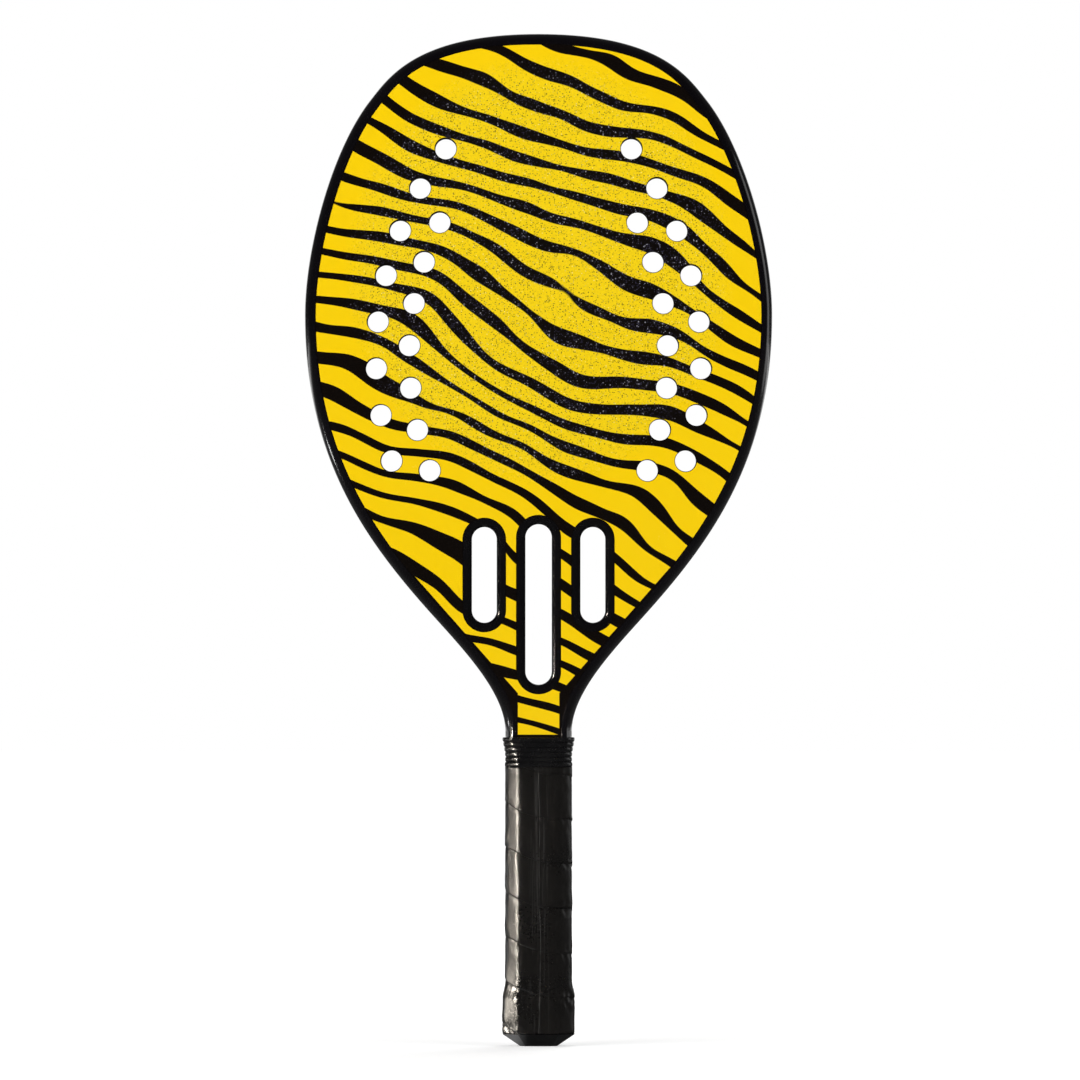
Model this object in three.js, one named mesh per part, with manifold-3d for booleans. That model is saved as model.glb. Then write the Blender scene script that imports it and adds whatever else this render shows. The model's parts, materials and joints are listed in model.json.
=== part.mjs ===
// A beach tennis racket: a hollow hoop frame, a drilled foam core between two face sheets, three throat
// slots lined with moulded rims, and an octagonal handle with wound tape, a rubber collar and a butt cap.
// Millimetres. +Z runs from the butt to the top of the head, and the front face looks along -Y.
// The origin is the centre of the butt's flat end.

import * as THREE from "three";
import { mergeVertices } from "three/addons/utils/BufferGeometryUtils.js";
import Module from "manifold-3d";

const wasm = await Module();
wasm.setup();

// Head outline
const racketLength = 500;
const headWidth = 231;
const headDepth = 22;
const widestHeight = 361;
const throatHeight = 217.2;
const throatWidth = 112.8;
const throatSlant = 41.4;
const neckHeight = 155.6;
const neckWidth = 33;
const flankShares = [0.47, 0.335];
const waistShares = [0.4, 0.325];

// Points of the crown's two curves, as shares of the head's half width and of its rise above the widest place
const crownShares = [[0, 1], [0.52, 1], [0.6385, 0.85], [0.721, 0.763], [0.885, 0.5885], [1, 0.2365], [1, 0]];

// Frame tube
const tubeWidth = 9;
const tubeNose = 5;
const tubeWall = 1.2;
const sheetThickness = 0.8;
const neckStraight = 2.6;
const bendLength = 20;

// Holes in the face, in two staggered rows on each side
const holeDiameter = 10.5;
const holeEdgeMargin = 35.3;
const holeArcDrop = 21.35;
const holeArcRadius = 172.5;
const holeRowSpacing = 16.3;
const holeWeb = 2;
const holePitch = 7.7;
const outerRowStart = -17.1;
const innerRowStart = -20.8;
const outerRowCrownMargin = 50;
const innerRowCrownMargin = 85;

// Throat slots
const centreSlotWidth = 13;
const centreSlotLength = 79.3;
const centreSlotMargin = 4.66;
const sideSlotWidth = 12.3;
const sideSlotLength = 47.3;
const sideSlotMargin = 1.22;
const slotWeb = 5.55;
const rimWidth = 4.3;
const rimRounding = 2.6;

// Handle
const gripWidth = 33;
const palletSideWall = 1.9;
const palletFaceWall = 1.4;
const palletBevelWall = 1.1;
const palletLap = 6;
const palletPlug = 4;
const sheetLift = 5;

// Grip tape
const tapeThickness = 1.5;
const tapePitch = 22;
const seamGap = 0.5;
const seamHeight = 23.2;
const tapeEndWidth = 3;
const tapeEdge = 0.9;
const tapeEdgeShare = 0.55;
const tapeRelief = 0.4;
const flareStart = 30;
const flareFull = 22;
const flareRise = 1.25;

// Butt cap
const capEndWidth = 18.2;
const capBevel = 6;
const capFloorDrop = 1;
const skirtTop = 26;
const skirtWall = 0.95;
const skirtLip = 0.3;

// Staples through the cap's skirt
const stapleHeight = 14;
const stapleSpan = 12;
const stapleLeg = 1.9;
const stapleWire = 0.9;
const stapleThickness = 0.5;

// Rubber collar
const collarLap = 1;
const collarHeight = 14.5;
const collarLip = 0.4;
const collarTopWall = 1.5;
const ribCount = 6;
const ribDepth = 0.5;
const ribFlatShare = 0.5;
const ribSlopeShare = 0.15;

// Fits and drawing steps
const clearance = 0.3;
const overrun = 2;
const crownSteps = 7;
const flankSteps = 9;
const waistSteps = 7;
const bendSteps = 5;
const noseSteps = 9;
const holeSteps = 12;
const slotEndSteps = 8;
const roundingSteps = 3;
const facetSteps = 3;
const collarSteps = 4;
const searchSteps = 200;
const quarterTurn = 90;

const halfDepth = headDepth / 2;
const rebateDepth = halfDepth - sheetThickness;
const neckHalf = neckWidth / 2;
const wrapThickness = tapeThickness + clearance;
const palletHalfWidth = gripWidth / 2 - wrapThickness;
const legHalf = palletHalfWidth - palletSideWall - clearance;

// Heights that follow the neck, downwards
const bendTop = neckHeight - neckStraight;
const bendFoot = bendTop - bendLength;
const palletTop = bendFoot + palletLap;
const collarFoot = palletTop - collarLap;
const tapeTop = collarFoot - tapeRelief;

// Heights that follow the butt cap, upwards
const capFloor = capBevel - capFloorDrop;
const legFoot = capFloor + palletPlug;

const flat = (x, y) => new THREE.Vector2(x, y);

// Materials
const paint = (color, roughness, metalness = 0) =>
  new THREE.MeshStandardMaterial({ color, roughness, metalness });
const materials = {
  frame: paint(0x0b0a0c, 0.18),
  print: paint(0xffd400, 0.28),
  foam: paint(0x141316, 0.85),
  rim: paint(0x0d0c0e, 0.2),
  pallet: paint(0x2b2a2c, 0.8),
  cap: paint(0x111012, 0.45),
  steel: paint(0xb8b8b8, 0.35, 1),
  tape: paint(0x1a181b, 0.5),
  collar: paint(0x0e0d0f, 0.3),
};

// Solids from rings of points

function geometryFrom(rings, closed) {
  const count = rings[0].length;
  const positions = rings.flat().flatMap((point) => [point.x, point.y, point.z]);
  const indices = [];
  const spans = closed ? rings.length : rings.length - 1;
  for (let ring = 0; ring < spans; ring += 1) {
    const next = (ring + 1) % rings.length;
    for (let i = 0; i < count; i += 1) {
      const a = ring * count + i;
      const b = ring * count + ((i + 1) % count);
      const c = next * count + ((i + 1) % count);
      const d = next * count + i;
      indices.push(a, b, c, a, c, d);
    }
  }
  if (!closed) {
    const last = (rings.length - 1) * count;
    for (let i = 1; i < count - 1; i += 1) {
      indices.push(0, i + 1, i);
      indices.push(last, last + i, last + i + 1);
    }
  }
  const geometry = new THREE.BufferGeometry();
  geometry.setAttribute("position", new THREE.Float32BufferAttribute(positions, 3));
  geometry.setIndex(indices);
  return geometry;
}

// Rings that follow one another round a closed loop, so the last one joins the first.
const loopOf = (rings) => geometryFrom(rings, true);

// Rings from one flat end to the other, with both ends filled in.
const rodOf = (rings) => geometryFrom(rings, false);

// Cutting one solid with others

function solidFrom(geometry) {
  const bare = geometry.clone();
  bare.deleteAttribute("normal");
  bare.deleteAttribute("uv");
  const merged = mergeVertices(bare);
  const vertProperties = new Float32Array(merged.attributes.position.array);
  const triVerts = new Uint32Array(merged.index.array);
  return new wasm.Manifold(new wasm.Mesh({ numProp: 3, vertProperties, triVerts }));
}

function cut(geometry, tools) {
  const carved = tools.reduce((solid, tool) => solid.subtract(solidFrom(tool)), solidFrom(geometry));
  const mesh = carved.getMesh();
  const result = new THREE.BufferGeometry();
  result.setAttribute("position", new THREE.BufferAttribute(mesh.vertProperties, 3));
  result.setIndex(new THREE.BufferAttribute(mesh.triVerts, 1));
  return result;
}

function boxBetween(low, high) {
  const size = new THREE.Vector3().subVectors(high, low);
  const middle = new THREE.Vector3().addVectors(low, high).multiplyScalar(0.5);
  return new THREE.BoxGeometry(size.x, size.y, size.z).translate(middle.x, middle.y, middle.z);
}

// Head outline: four curves from the top's centre to the neck on the right side

function outlineCurves() {
  const curve = (points) => new THREE.CubicBezierCurve(...points);
  const moved = (point, direction, length) => direction.clone().multiplyScalar(length).add(point);
  const angle = THREE.MathUtils.degToRad(throatSlant);
  const slant = flat(Math.sin(angle), Math.cos(angle));
  const down = flat(0, -1);
  const crownRise = racketLength - widestHeight;
  const flankDrop = widestHeight - throatHeight;
  const waistDrop = throatHeight - neckHeight;
  const crown = crownShares.map(([across, up]) =>
    flat((across * headWidth) / 2, widestHeight + up * crownRise));
  const widest = crown[crown.length - 1];
  const throat = flat(throatWidth / 2, throatHeight);
  const neck = flat(neckHalf, neckHeight);
  return {
    crown: curve(crown.slice(0, 4)),
    shoulder: curve(crown.slice(3)),
    flank: curve([
      widest,
      moved(widest, down, flankShares[0] * flankDrop),
      moved(throat, slant, flankShares[1] * flankDrop),
      throat,
    ]),
    waist: curve([
      throat,
      moved(throat, slant, -waistShares[0] * waistDrop),
      moved(neck, down, -waistShares[1] * waistDrop),
      neck,
    ]),
  };
}

const outline = outlineCurves();
const edgePoints = Object.values(outline).flatMap((curve) => curve.getPoints(searchSteps));

// Half the distance between the legs' outer sides, which draw together inside the handle.
function legReach(z) {
  const rise = THREE.MathUtils.smoothstep(z, bendFoot, bendTop);
  return THREE.MathUtils.lerp(legHalf, neckHalf, rise);
}

// A station is a place on the outer silhouette with the direction that points into the head.
function stationOn(curve, t) {
  const point = curve.getPoint(t);
  const tangent = curve.getTangent(t);
  return { x: point.x, z: point.y, inX: tangent.y, inZ: -tangent.x };
}

function stationsAlong(curve, steps) {
  return Array.from({ length: steps }, (_, i) => stationOn(curve, (i + 1) / steps));
}

function headStations() {
  return [
    stationOn(outline.crown, 0),
    ...stationsAlong(outline.crown, crownSteps),
    ...stationsAlong(outline.shoulder, crownSteps),
    ...stationsAlong(outline.flank, flankSteps),
    ...stationsAlong(outline.waist, waistSteps),
  ];
}

function bendStations() {
  const third = (bendTop - bendFoot) / 3;
  const bend = new THREE.CubicBezierCurve(
    flat(neckHalf, bendTop),
    flat(neckHalf, bendTop - third),
    flat(legHalf, bendFoot + third),
    flat(legHalf, bendFoot),
  );
  return [stationOn(bend, 0), ...stationsAlong(bend, bendSteps)];
}

function legEndStation(z) {
  return { x: legHalf, z, inX: -1, inZ: 0 };
}

const mirrored = (station) => ({ ...station, x: -station.x, inX: -station.inX });

const placed = (station, inset, y) =>
  new THREE.Vector3(station.x + station.inX * inset, y, station.z + station.inZ * inset);

// Frame tube: rounded outside, flat inside, stepped down at both faces where the sheets sit

function noseAngles() {
  return Array.from({ length: noseSteps + 1 }, (_, i) => (i / noseSteps - 0.5) * Math.PI);
}

function tubeSection() {
  const nose = noseAngles().map((angle) =>
    flat(tubeNose * (1 - Math.cos(angle)), halfDepth * Math.sin(angle)));
  const back = [
    flat(tubeNose, rebateDepth),
    flat(tubeWidth, rebateDepth),
    flat(tubeWidth, -rebateDepth),
    flat(tubeNose, -rebateDepth),
  ];
  return [...nose, ...back];
}

function boreSection() {
  const centre = tubeNose - tubeWall;
  const reach = centre - tubeWall;
  const half = rebateDepth - tubeWall;
  const nose = noseAngles().map((angle) =>
    flat(centre - reach * Math.cos(angle), half * Math.sin(angle)));
  const shoulder = tubeNose - tubeWall / 2;
  const back = [
    flat(shoulder, half),
    flat(tubeWidth - tubeWall, half),
    flat(tubeWidth - tubeWall, -half),
    flat(shoulder, -half),
  ];
  return [...nose, ...back];
}

function frameTube() {
  const right = [...headStations(), ...bendStations(), legEndStation(legFoot)];
  const left = right.slice(1).map(mirrored);
  const route = [...right.reverse(), ...left];
  const ringOf = (section) => (station) => section.map((point) => placed(station, point.x, point.y));
  const outer = route.map(ringOf(tubeSection()));
  const bore = route.map(ringOf(boreSection()));
  return loopOf([...outer, ...bore.reverse()]);
}

// Core and face sheets: flat plates inside the frame, drilled and slotted alike

// Holes stand an equal angle apart on their row's arc, up to the crown, and keep a web to the tube.
function holeRow(radius, start, crownMargin) {
  const centre = flat(headWidth / 2 - holeEdgeMargin - holeArcRadius, widestHeight - holeArcDrop);
  const reach = holeDiameter / 2 + tubeWidth + clearance + holeWeb;
  const row = [];
  for (let degrees = start; degrees < quarterTurn; degrees += holePitch) {
    const angle = THREE.MathUtils.degToRad(degrees);
    const hole = flat(radius * Math.cos(angle), radius * Math.sin(angle)).add(centre);
    const inside = hole.x > holeDiameter && hole.y < racketLength - crownMargin;
    if (inside && edgePoints.every((point) => point.distanceTo(hole) > reach)) {
      row.push(hole);
    }
  }
  return row;
}

function holeCentres() {
  const right = [
    ...holeRow(holeArcRadius, outerRowStart, outerRowCrownMargin),
    ...holeRow(holeArcRadius - holeRowSpacing, innerRowStart, innerRowCrownMargin),
  ];
  return [...right, ...right.map((hole) => flat(-hole.x, hole.y))];
}

// The lowest height on an upright line where a circle of the given reach clears the throat's edge.
function lowestCentre(x, reach) {
  const near = edgePoints.filter((point) => point.y < widestHeight && Math.abs(point.x - x) < reach);
  return Math.max(...near.map((point) => point.y + Math.sqrt(reach ** 2 - (point.x - x) ** 2)));
}

function slotAt(side, x, width, length, margin) {
  const reach = width / 2 + rimWidth + margin + tubeWidth;
  const low = lowestCentre(Math.abs(x), reach) - width / 2;
  return { side, x, width, low, high: low + length };
}

const sideSlotOffset = (centreSlotWidth + sideSlotWidth) / 2 + 2 * rimWidth + slotWeb;
const slots = [
  slotAt("left", -sideSlotOffset, sideSlotWidth, sideSlotLength, sideSlotMargin),
  slotAt("centre", 0, centreSlotWidth, centreSlotLength, centreSlotMargin),
  slotAt("right", sideSlotOffset, sideSlotWidth, sideSlotLength, sideSlotMargin),
];

function circlePath(centre, radius) {
  const path = new THREE.Path();
  path.absarc(centre.x, centre.y, radius, 0, 2 * Math.PI, true);
  return path;
}

// A slot's outline, widened all round, as a round turn at each end.
function slotOutline(slot, widening) {
  const half = slot.width / 2;
  const ends = [
    { height: slot.high - half, from: 0 },
    { height: slot.low + half, from: Math.PI },
  ];
  return ends.flatMap(({ height, from }) =>
    Array.from({ length: slotEndSteps + 1 }, (_, i) => {
      const angle = from + (Math.PI * i) / slotEndSteps;
      const radius = half + widening;
      return flat(slot.x + radius * Math.cos(angle), height + radius * Math.sin(angle));
    }));
}

// The edge of a plate that lies a given way inside the silhouette and ends level at its foot.
function plateShape(inset, foot) {
  const right = [...headStations(), ...bendStations()]
    .map((station) => flat(station.x + station.inX * inset, station.z + station.inZ * inset))
    .filter((point) => point.y > foot + clearance);
  right.push(flat(legReach(foot) - inset, foot));
  const left = right.slice(1).map((point) => flat(-point.x, point.y));
  const shape = new THREE.Shape([...right.reverse(), ...left]);
  shape.holes = [
    ...holeCentres().map((centre) => circlePath(centre, holeDiameter / 2)),
    ...slots.map((slot) => new THREE.Path(slotOutline(slot, rimWidth + clearance))),
  ];
  return shape;
}

function plate(inset, foot, thickness, frontY) {
  const options = { depth: thickness, bevelEnabled: false, curveSegments: holeSteps / 2 };
  const geometry = new THREE.ExtrudeGeometry(plateShape(inset, foot), options);
  return geometry.rotateX(Math.PI / 2).translate(0, frontY + thickness, 0);
}

const coreDepth = 2 * rebateDepth;
const foamCore = () => plate(tubeWidth + clearance, palletTop, coreDepth, -rebateDepth);
const faceSheet = (frontY) => plate(tubeNose + clearance, palletTop + sheetLift, sheetThickness, frontY);

// Slot rims: a moulded lining with both edges rounded over

function rimProfile() {
  const straight = halfDepth - rimRounding;
  const turn = (from, y) => Array.from({ length: roundingSteps + 1 }, (_, i) => {
    const angle = from + (Math.PI / 2) * (i / roundingSteps);
    return flat(rimRounding * (1 + Math.cos(angle)), y + rimRounding * Math.sin(angle));
  });
  return [
    flat(rimWidth, halfDepth),
    ...turn(Math.PI / 2, straight),
    ...turn(Math.PI, -straight),
    flat(rimWidth, -halfDepth),
  ];
}

function slotRim(slot) {
  const lines = rimProfile().map((point) =>
    slotOutline(slot, point.x).map((place) => new THREE.Vector3(place.x, point.y, place.y)));
  const rings = lines[0].map((_, i) => lines.map((line) => line[i]));
  return loopOf(rings);
}

// Handle octagon: wide front and back facets, narrower side facets and four bevels

const channelNose = flat(tubeNose + clearance, halfDepth + clearance);
const palletHalfDepth = channelNose.y + palletFaceWall;
const bevelReach = (legHalf - tubeNose + channelNose.length()) / Math.SQRT2 + palletBevelWall;

// Corners of the octagon grown by an offset, clockwise from above, from the front facet's right end.
function octagonCorners(offset) {
  const wide = palletHalfWidth + offset;
  const deep = palletHalfDepth + offset;
  const reach = Math.SQRT2 * (bevelReach + offset);
  const across = reach - deep;
  const along = reach - wide;
  return [
    flat(across, -deep), flat(-across, -deep), flat(-wide, -along), flat(-wide, along),
    flat(-across, deep), flat(across, deep), flat(wide, along), flat(wide, -along),
  ];
}

// The octagon at one offset with each facet split into equal steps.
function octagonSteps(offset) {
  const corners = octagonCorners(offset);
  return corners.flatMap((corner, i) =>
    Array.from({ length: facetSteps }, (_, step) =>
      corner.clone().lerp(corners[(i + 1) % corners.length], step / facetSteps)));
}

const lifted = (points, z) => points.map((point) => new THREE.Vector3(point.x, point.y, z));

// Handle pallets: two half shells that clasp the frame's legs

function legChannel(mirror) {
  const nose = noseAngles().map((angle) =>
    flat(tubeNose - channelNose.x * Math.cos(angle), channelNose.y * Math.sin(angle)));
  const section = [
    ...nose,
    flat(tubeWidth + clearance, channelNose.y),
    flat(tubeWidth + clearance, -channelNose.y),
  ];
  const right = [...bendStations(), legEndStation(legFoot - clearance)];
  const route = mirror ? right.map(mirrored) : right.reverse();
  return rodOf(route.map((station) => section.map((point) => placed(station, point.x, point.y))));
}

function staplePocket(side, end) {
  const half = stapleWire / 2 + clearance;
  const face = side * (palletHalfWidth + overrun);
  const bottom = side * (palletHalfWidth - stapleLeg - clearance);
  const y = (end * stapleSpan) / 2;
  return boxBetween(
    new THREE.Vector3(Math.min(face, bottom), y - half, stapleHeight - half),
    new THREE.Vector3(Math.max(face, bottom), y + half, stapleHeight + half));
}

function pallet(face) {
  const corners = octagonCorners(0);
  const half = [
    flat(palletHalfWidth, 0),
    corners[7],
    ...corners.slice(0, 3),
    flat(-palletHalfWidth, 0),
  ];
  const shape = new THREE.Shape(half.map((corner) => flat(-face * corner.x, -face * corner.y)));
  const options = { depth: palletTop - capFloor, bevelEnabled: false };
  const block = new THREE.ExtrudeGeometry(shape, options).translate(0, 0, capFloor);
  const tools = [legChannel(false), legChannel(true), staplePocket(1, face), staplePocket(-1, face)];
  return cut(block, tools);
}

// Butt cap: a bevelled end with a flared ledge for the tape and a thin skirt round the pallets

const ledgeOffset = wrapThickness + flareRise;
const capEndOffset = capEndWidth / 2 - palletHalfWidth;
const skirtFootOffset = clearance + skirtWall;
const skirtTopOffset = clearance + skirtLip;

function stapleWindow(side) {
  const half = stapleWire / 2 + clearance;
  const reach = (stapleSpan + stapleWire) / 2 + clearance;
  const near = side * (palletHalfWidth - clearance);
  const far = side * (palletHalfWidth + overrun);
  return boxBetween(
    new THREE.Vector3(Math.min(near, far), -reach, stapleHeight - half),
    new THREE.Vector3(Math.max(near, far), reach, stapleHeight + half));
}

function buttCap() {
  const profile = [
    [capEndOffset, 0],
    [ledgeOffset, capBevel],
    [skirtFootOffset, capBevel],
    [skirtTopOffset, skirtTop],
    [clearance, skirtTop],
    [clearance, capFloor],
  ];
  const rings = profile.map(([offset, z]) => lifted(octagonCorners(offset).reverse(), z));
  return cut(rodOf(rings), [stapleWindow(1), stapleWindow(-1)]);
}

// Staples: a flat wire crown in the skirt's window, with a leg into each pallet

function staple(side) {
  const outer = (stapleSpan + stapleWire) / 2;
  const inner = (stapleSpan - stapleWire) / 2;
  const seat = palletHalfWidth;
  const shape = new THREE.Shape([
    flat(side * (seat - stapleLeg), -outer),
    flat(side * (seat + stapleThickness), -outer),
    flat(side * (seat + stapleThickness), outer),
    flat(side * (seat - stapleLeg), outer),
    flat(side * (seat - stapleLeg), inner),
    flat(side * seat, inner),
    flat(side * seat, -inner),
    flat(side * (seat - stapleLeg), -inner),
  ]);
  const options = { depth: stapleWire, bevelEnabled: false };
  return new THREE.ExtrudeGeometry(shape, options).translate(0, 0, stapleHeight - stapleWire / 2);
}

// Grip tape: one band wound up the handle edge to edge, trimmed level at both ends

const skirtFall = (skirtFootOffset - skirtTopOffset) / (skirtTop - capBevel);
const tapeFoot = capBevel + clearance;

function tapeInner(z) {
  return clearance + Math.max(0, skirtFootOffset - skirtFall * (z - capBevel));
}

function tapeOuter(z) {
  const rise = THREE.MathUtils.clamp((flareStart - z) / (flareStart - flareFull), 0, 1);
  return wrapThickness + flareRise * rise;
}

// How far round the octagon each step lies, as a part of one whole turn.
function turnFractions() {
  const points = octagonSteps(wrapThickness);
  const lengths = points.map((point, i) => point.distanceTo(points[(i + 1) % points.length]));
  const total = lengths.reduce((sum, length) => sum + length, 0);
  let travelled = 0;
  return lengths.map((length) => {
    const fraction = travelled / total;
    travelled += length;
    return fraction;
  });
}

function tapeRings() {
  const fractions = turnFractions();
  const perTurn = fractions.length;
  const bandWidth = tapePitch - seamGap;
  const lowest = tapeFoot + tapeEndWidth - bandWidth;
  const highest = tapeTop - tapeEndWidth;
  const firstTurn = Math.floor((lowest - seamHeight) / tapePitch);
  const lastTurn = Math.ceil((highest - seamHeight) / tapePitch);
  const rings = [];
  for (let step = firstTurn * perTurn; step <= lastTurn * perTurn; step += 1) {
    const turn = Math.floor(step / perTurn);
    const place = step - turn * perTurn;
    const edge = seamHeight + tapePitch * (turn + fractions[place]);
    if (edge >= lowest && edge <= highest) {
      const low = Math.max(tapeFoot, edge);
      const high = Math.min(tapeTop, edge + bandWidth);
      const at = (offset, z) => {
        const point = octagonSteps(offset)[place];
        return new THREE.Vector3(point.x, point.y, z);
      };
      const edgeOffset = (z) => THREE.MathUtils.lerp(tapeInner(z), tapeOuter(z), tapeEdgeShare);
      rings.push([
        at(tapeInner(low), low),
        at(edgeOffset(low), low),
        at(tapeOuter(low + tapeEdge), low + tapeEdge),
        at(tapeOuter(high - tapeEdge), high - tapeEdge),
        at(edgeOffset(high), high),
        at(tapeInner(high), high),
      ]);
    }
  }
  return rings;
}

// The least distance between points of the band that lie at least half a turn apart along it.
function leastGap(rings) {
  const apart = turnFractions().length / 2;
  let least = Infinity;
  for (let i = 0; i < rings.length; i += 1) {
    for (let j = i + apart; j < rings.length; j += 1) {
      for (const a of rings[i]) {
        for (const b of rings[j]) {
          least = Math.min(least, a.distanceTo(b));
        }
      }
    }
  }
  return least;
}

function gripTape() {
  const rings = tapeRings();
  console.log(`Grip tape: least gap between turns ${leastGap(rings).toFixed(2)} mm`);
  return rodOf(rings);
}

// Rubber collar: ribbed outside, octagonal at its foot and hugging the neck at its top

const collarTop = collarFoot + collarHeight;

// The neck's outline grown by an offset, with as many points as the stepped octagon, in its order.
function neckRing(z, offset) {
  const straight = legReach(z) - tubeNose;
  const right = noseAngles().map((angle) => flat(
    straight + (tubeNose + offset) * Math.cos(angle),
    (halfDepth + offset) * Math.sin(angle)));
  const left = right.map((point) => flat(-point.x, point.y));
  const across = (y, side) => Array.from({ length: facetSteps - 1 }, (_, i) =>
    flat(side * straight * (1 - (2 * (i + 1)) / facetSteps), y));
  const front = across(-halfDepth - offset, 1);
  const back = across(halfDepth + offset, -1);
  return [right[0], ...front, ...left, ...back, ...right.slice(1).reverse()];
}

function collarRing(z, offset, neckOffset, share) {
  const octagon = octagonSteps(offset);
  const neck = neckRing(z, neckOffset);
  const blended = octagon.map((point, i) => point.clone().lerp(neck[i], share));
  return lifted(blended.reverse(), z);
}

function rubberCollar() {
  const footOffset = wrapThickness + collarLip;
  const ribPitch = collarHeight / ribCount;
  const ribSlope = ribSlopeShare * ribPitch;
  const ribFlat = ribFlatShare * ribPitch;
  const outer = [];
  for (let rib = 0; rib < ribCount; rib += 1) {
    const foot = collarFoot + rib * ribPitch + (ribPitch - ribFlat) / 2 - ribSlope;
    const heights = [foot, foot + ribSlope, foot + ribSlope + ribFlat, foot + 2 * ribSlope + ribFlat];
    heights.forEach((z, i) => outer.push({ z, depth: i === 1 || i === 2 ? 0 : ribDepth }));
  }
  outer.unshift({ z: collarFoot, depth: ribDepth });
  outer.push({ z: collarTop, depth: ribDepth });
  const outerRings = outer.map(({ z, depth }) =>
    collarRing(z, footOffset - depth, collarTopWall - depth, (z - collarFoot) / collarHeight));
  const seat = palletTop + clearance;
  const boreRings = Array.from({ length: collarSteps + 1 }, (_, i) => {
    const z = THREE.MathUtils.lerp(collarTop, seat, i / collarSteps);
    return collarRing(z, clearance, clearance, i < collarSteps ? 1 : 0);
  });
  boreRings.push(collarRing(collarFoot, clearance, clearance, 0));
  return loopOf([...outerRings, ...boreRings]);
}

// Assembly

const racket = new THREE.Group();

function add(name, geometry, material) {
  const mesh = new THREE.Mesh(geometry, material);
  mesh.name = name;
  racket.add(mesh);
}

add("frame_tube", frameTube(), materials.frame);
add("foam_core", foamCore(), materials.foam);
add("face_sheet_front", faceSheet(-halfDepth), materials.print);
add("face_sheet_back", faceSheet(rebateDepth), materials.print);
slots.forEach((slot) => add(`slot_rim_${slot.side}`, slotRim(slot), materials.rim));
add("handle_pallet_front", pallet(-1), materials.pallet);
add("handle_pallet_back", pallet(1), materials.pallet);
add("butt_cap", buttCap(), materials.cap);
add("butt_staple_right", staple(1), materials.steel);
add("butt_staple_left", staple(-1), materials.steel);
add("grip_tape", gripTape(), materials.tape);
add("rubber_collar", rubberCollar(), materials.collar);

export default racket;
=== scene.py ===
# %% [markdown]
# # A beach tennis racket
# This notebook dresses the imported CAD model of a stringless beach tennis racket. The CAD solids come in as
# a fixed frame that says where everything is. Each cell below makes one piece or one finish, in metres. The
# racket stands on its butt, with its front face towards -Y.

# %% The frame
import json
import math

import bmesh
import bpy
from mathutils import Matrix, Vector, noise
from mathutils.geometry import interpolate_bezier

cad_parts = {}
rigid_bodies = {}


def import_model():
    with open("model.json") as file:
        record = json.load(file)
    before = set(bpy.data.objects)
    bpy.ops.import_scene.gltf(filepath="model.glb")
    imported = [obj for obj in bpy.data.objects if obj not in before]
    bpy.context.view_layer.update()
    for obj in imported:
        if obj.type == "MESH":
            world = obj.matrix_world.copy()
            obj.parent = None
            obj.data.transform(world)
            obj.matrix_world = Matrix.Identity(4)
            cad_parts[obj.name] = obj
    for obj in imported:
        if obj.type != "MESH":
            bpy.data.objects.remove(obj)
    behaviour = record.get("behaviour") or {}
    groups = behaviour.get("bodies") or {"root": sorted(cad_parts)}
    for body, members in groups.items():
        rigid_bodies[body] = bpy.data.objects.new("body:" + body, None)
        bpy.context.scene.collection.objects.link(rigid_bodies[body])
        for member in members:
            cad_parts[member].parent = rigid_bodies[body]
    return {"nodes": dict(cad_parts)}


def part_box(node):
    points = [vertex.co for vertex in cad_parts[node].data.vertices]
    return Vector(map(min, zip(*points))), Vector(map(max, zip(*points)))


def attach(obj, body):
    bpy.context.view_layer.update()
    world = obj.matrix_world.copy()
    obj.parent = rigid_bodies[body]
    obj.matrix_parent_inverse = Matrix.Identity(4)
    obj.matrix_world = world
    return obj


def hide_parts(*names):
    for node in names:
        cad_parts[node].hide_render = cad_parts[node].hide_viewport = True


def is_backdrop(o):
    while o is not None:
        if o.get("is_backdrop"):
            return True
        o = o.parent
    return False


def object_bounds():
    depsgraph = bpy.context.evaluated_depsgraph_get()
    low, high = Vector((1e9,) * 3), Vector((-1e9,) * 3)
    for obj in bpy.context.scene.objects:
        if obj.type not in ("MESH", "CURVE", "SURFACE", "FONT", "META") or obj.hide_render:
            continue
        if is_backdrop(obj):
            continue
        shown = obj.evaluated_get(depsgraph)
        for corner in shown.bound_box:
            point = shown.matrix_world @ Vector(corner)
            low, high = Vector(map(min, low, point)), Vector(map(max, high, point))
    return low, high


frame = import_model()
cad_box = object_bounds()
print("CAD box", [tuple(round(c, 4) for c in corner) for corner in cad_box])

# %% [markdown]
# ## Camera
# The photograph looks straight at the face from far away: even the highest holes show as full circles. A
# camera six and a half metres off with a very long lens does the same. Its frame is 533 mm wide at the
# racket's face.

# %% The camera
FACE = 0.011
VIEW_WIDTH = 0.5328
VIEW_CENTRE = Vector((0.0007, 0.0, 0.2499))
CAMERA_AWAY = 6.5
SENSOR = 36.0

camera = bpy.data.objects.new("camera", bpy.data.cameras.new("camera"))
camera.data.sensor_width = SENSOR
camera.data.lens = SENSOR * (CAMERA_AWAY - FACE) / VIEW_WIDTH
camera.location = VIEW_CENTRE + Vector((0, -CAMERA_AWAY, 0))
camera.rotation_euler = (math.radians(90), 0, 0)
bpy.context.scene.collection.objects.link(camera)
bpy.context.scene.camera = camera
bpy.context.scene.view_settings.view_transform = "Standard"
print("lens", round(camera.data.lens, 1), "mm")

# %% [markdown]
# ## Small helpers
# Node trees are quicker to read when one line places a node with its values and links. The first helper
# does that. The others write a sum, a range, a mix or a noise as one call. A Mix node keeps sockets of its
# own for numbers and for colours, so a small table says which ones to use.

# %% Node helpers
MIX_SOCKETS = {"FLOAT": (2, 3, 0), "RGBA": (6, 7, 2)}


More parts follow.
